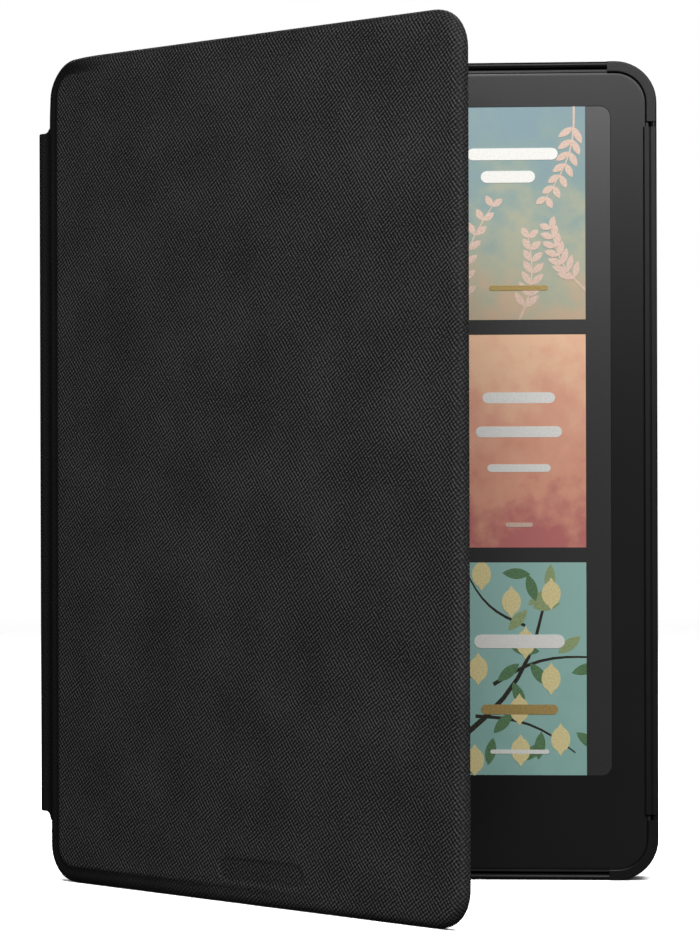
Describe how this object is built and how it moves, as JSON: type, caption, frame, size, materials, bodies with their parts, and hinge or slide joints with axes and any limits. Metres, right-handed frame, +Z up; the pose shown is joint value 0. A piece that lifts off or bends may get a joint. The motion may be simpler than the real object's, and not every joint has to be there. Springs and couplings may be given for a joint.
{
  "type": "e-reader",
  "caption": "Seven-inch e-reader held in a black cross-grained leather folio case, standing with its front cover partly open.",
  "frame": {"origin": "on the case tray's flat bottom edge, which the reader stands on, in the middle of the reader's width and thickness", "axes": "+X to the right seen from the front, +Y to the back (the screen faces -Y), +Z up along the reader"},
  "size_m": [0.1365, 0.104, 0.1811],
  "materials": {
    "lens_black": "matt anti-glare face over black printing",
    "glue_clear": "soft clear adhesive",
    "sensor_glass": "thin coated glass",
    "light_guide": "clear polished sheet with fine dots",
    "paper_film": "matt paper-like film",
    "display_glass": "dark coated glass",
    "foam_black": "soft black foam",
    "flex_amber": "amber polyimide with copper under it",
    "frame_metal": "die-cast, fine grained",
    "screw_steel": "bright",
    "seal_rubber": "matt black",
    "housing_black": "fine matt soft-touch",
    "battery_foil": "laminated foil",
    "tape_white": "stretch tape",
    "wire_red": "soft insulation",
    "ferrite": "dark brittle sheet",
    "copper": "enamelled copper",
    "board_green": "solder mask",
    "chip_black": "moulded epoxy",
    "can_tin": "tinned sheet",
    "connector_ivory": "moulded, ivory",
    "graphite": "grey graphite sheet",
    "lead_black": "thin black insulation",
    "socket_steel": "drawn steel, satin",
    "button_black": "satin",
    "light_amber": "clear amber rod",
    "tray_black": "satin moulded",
    "pad_felt": "short napped lining",
    "leather_black": "cross-hatched grain, satin",
    "lining_felt": "short napped microfibre",
    "board_grey": "dense grey board",
    "magnet_nickel": "nickel plated"
  },
  "bodies": {
    "reader_case": {"front_lens": "lens_black", "lens_glue": "glue_clear", "touch_sensor": "sensor_glass", "light_guide": "light_guide", "front_light_strip": "flex_amber", "paper_film": "paper_film", "display_backplane": "display_glass", "display_foam": "foam_black", "display_cable": "flex_amber", "touch_cable": "flex_amber", "mid_frame": "frame_metal", "frame_screws": "screw_steel", "housing_seal": "seal_rubber", "back_housing": "housing_black", "battery_pack": "battery_foil", "battery_tape": "tape_white", "battery_lead": "wire_red", "ferrite_sheet": "ferrite", "charging_coil": "copper", "main_board": "board_green", "board_screws": "screw_steel", "processor": "chip_black", "memory_chip": "chip_black", "flash_chip": "chip_black", "power_chip": "chip_black", "radio_module": "chip_black", "shield_cans": "can_tin", "board_connectors": "connector_ivory", "heat_spreader": "graphite", "hall_sensor": "chip_black", "light_sensor": "chip_black", "wireless_antenna": "flex_amber", "antenna_cable": "lead_black", "usb_receptacle": "socket_steel", "usb_tongue": "seal_rubber", "usb_gasket": "seal_rubber", "button_seal": "seal_rubber", "power_switch": "can_tin", "charge_light": "light_amber", "case_tray": "tray_black", "tray_pad": "pad_felt", "back_leather": "leather_black"},
    "spine": {"spine_leather": "leather_black", "spine_board": "board_grey", "spine_lining": "lining_felt"},
    "cover": {"cover_leather": "leather_black", "cover_board": "board_grey", "cover_lining": "lining_felt", "closure_magnets": "magnet_nickel", "wake_magnet": "magnet_nickel"},
    "button": {"power_button": "button_black"}
  },
  "joints": [
    {"name": "spine_fold", "type": "hinge", "parent": "reader_case", "child": "spine", "pos_m": [-0.0672, 0.00525, 0.09005], "axis": [0, 0, -1], "range_deg": [-12.5, 167.5]},
    {"name": "cover_fold", "type": "hinge", "parent": "spine", "child": "cover", "pos_m": [-0.06982, -0.00656, 0.09005], "axis": [0, 0, -1], "range_deg": [-30.5, 149.5]},
    {"name": "power_press", "type": "slide", "parent": "reader_case", "child": "button", "axis": [0, 0, 1], "range_m": [0, 0.00035], "stiffness_N_per_m": 4000}
  ]
}
